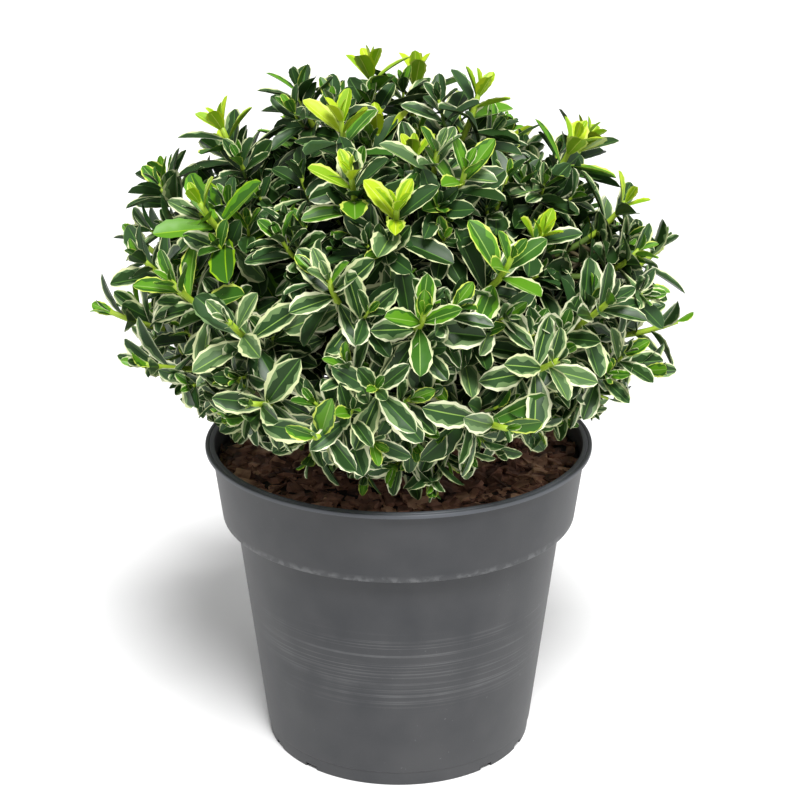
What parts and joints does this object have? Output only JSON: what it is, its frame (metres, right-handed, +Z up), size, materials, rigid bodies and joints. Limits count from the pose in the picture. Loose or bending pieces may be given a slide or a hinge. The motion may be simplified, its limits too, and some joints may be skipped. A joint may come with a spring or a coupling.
{
  "type": "potted japanese spindle",
  "caption": "Dense rounded evergreen shrub with cream-edged leaves, growing from a short stem in a round plastic nursery pot filled with bark mulch.",
  "frame": {"origin": "on the ground, at the middle of the flat pad under the pot's floor", "axes": "+Z up along the pot's axis; -Y towards the front of the picture; +X to its right"},
  "size_m": [0.3304, 0.3358, 0.4261],
  "materials": {
    "pot_plastic": "matte dark grey moulded plastic, lightly scuffed",
    "bark_mulch": "rough reddish brown bark chips",
    "stem_bark": "olive to brown bark, slightly rough",
    "leaf_green": "glossy leathery leaves, deep green with cream edges and lime tips"
  },
  "bodies": {
    "root": {"bough_low_01": "stem_bark", "bough_low_02": "stem_bark", "bough_low_03": "stem_bark", "bough_low_04": "stem_bark", "bough_low_05": "stem_bark", "bough_low_06": "stem_bark", "bough_low_07": "stem_bark", "bough_mid_01": "stem_bark", "bough_mid_02": "stem_bark", "bough_mid_03": "stem_bark", "bough_mid_04": "stem_bark", "bough_mid_05": "stem_bark", "bough_top_01": "stem_bark", "foliage_low_01": "leaf_green", "foliage_low_02": "leaf_green", "foliage_low_03": "leaf_green", "foliage_low_04": "leaf_green", "foliage_low_05": "leaf_green", "foliage_low_06": "leaf_green", "foliage_low_07": "leaf_green", "foliage_mid_01": "leaf_green", "foliage_mid_02": "leaf_green", "foliage_mid_03": "leaf_green", "foliage_mid_04": "leaf_green", "foliage_mid_05": "leaf_green", "foliage_top_01": "leaf_green", "pot": "pot_plastic", "soil": "bark_mulch", "trunk": "stem_bark"}
  },
  "joints": []
}
